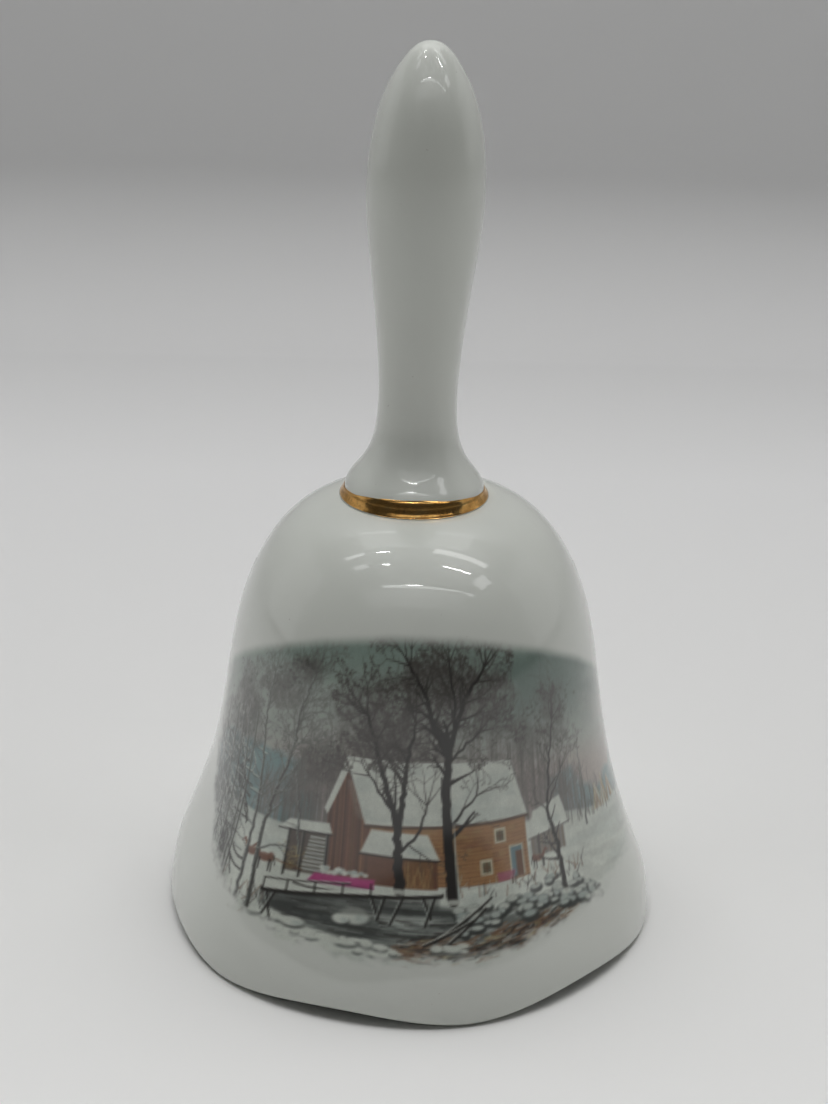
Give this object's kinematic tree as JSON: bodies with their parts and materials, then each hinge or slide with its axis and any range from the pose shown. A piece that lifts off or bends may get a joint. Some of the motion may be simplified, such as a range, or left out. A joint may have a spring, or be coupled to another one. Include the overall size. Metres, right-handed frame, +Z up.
{
  "type": "porcelain table bell",
  "caption": "Porcelain table bell with a waved flared rim, a slender hollow handle, a gilt band and a ball clapper on a short chain.",
  "frame": {"origin": "on the table under the middle of the bell, at the level of the rim's feet", "axes": "+Z up the handle; the picture faces -Y; +X to the right as one faces the picture"},
  "size_m": [0.08, 0.08, 0.14],
  "materials": {
    "printed_porcelain": "glossy white glaze over a printed winter landscape",
    "white_porcelain": "glossy white glaze",
    "unglazed_porcelain": "matt fired slip",
    "gold_lustre": "burnished gold lustre with fine scratches",
    "cement": "matt plaster cement",
    "brass_wire": "bright drawn brass wire, lightly aged",
    "clapper_porcelain": "glossy white glaze"
  },
  "bodies": {
    "bell": {"bell_shell": "printed_porcelain", "luting_slip": "unglazed_porcelain", "handle": "white_porcelain", "gold_band": "gold_lustre", "anchor_cement": "cement", "hanger_eye": "brass_wire"},
    "link_1": {"chain_link_1": "brass_wire"},
    "link_2": {"chain_link_2": "brass_wire"},
    "link_3": {"chain_link_3": "brass_wire"},
    "link_4": {"chain_link_4": "brass_wire"},
    "link_5": {"chain_link_5": "brass_wire"},
    "link_6": {"chain_link_6": "brass_wire"},
    "clapper": {"clapper_ball": "clapper_porcelain", "clapper_pin": "brass_wire"}
  },
  "joints": [
    {"name": "link_1_swing", "type": "hinge", "parent": "bell", "child": "link_1", "pos_m": [0, 0, 0.0626], "axis": [0, 1, 0], "range_deg": [-31, 31]},
    {"name": "link_2_swing", "type": "hinge", "parent": "link_1", "child": "link_2", "pos_m": [0, 0, 0.05725], "axis": [1, 0, 0], "range_deg": [-35, 35]},
    {"name": "link_3_swing", "type": "hinge", "parent": "link_2", "child": "link_3", "pos_m": [0, 0, 0.0519], "axis": [0, -1, 0], "range_deg": [-42, 42]},
    {"name": "link_4_swing", "type": "hinge", "parent": "link_3", "child": "link_4", "pos_m": [0, 0, 0.04655], "axis": [-1, 0, 0], "range_deg": [-53, 53]},
    {"name": "link_5_swing", "type": "hinge", "parent": "link_4", "child": "link_5", "pos_m": [0, 0, 0.0412], "axis": [0, 1, 0], "range_deg": [-60, 60]},
    {"name": "link_6_swing", "type": "hinge", "parent": "link_5", "child": "link_6", "pos_m": [0, 0, 0.03585], "axis": [1, 0, 0], "range_deg": [-60, 60]},
    {"name": "clapper_swing", "type": "hinge", "parent": "link_6", "child": "clapper", "pos_m": [0, 0, 0.0305], "axis": [0, -1, 0], "range_deg": [-60, 60]}
  ]
}
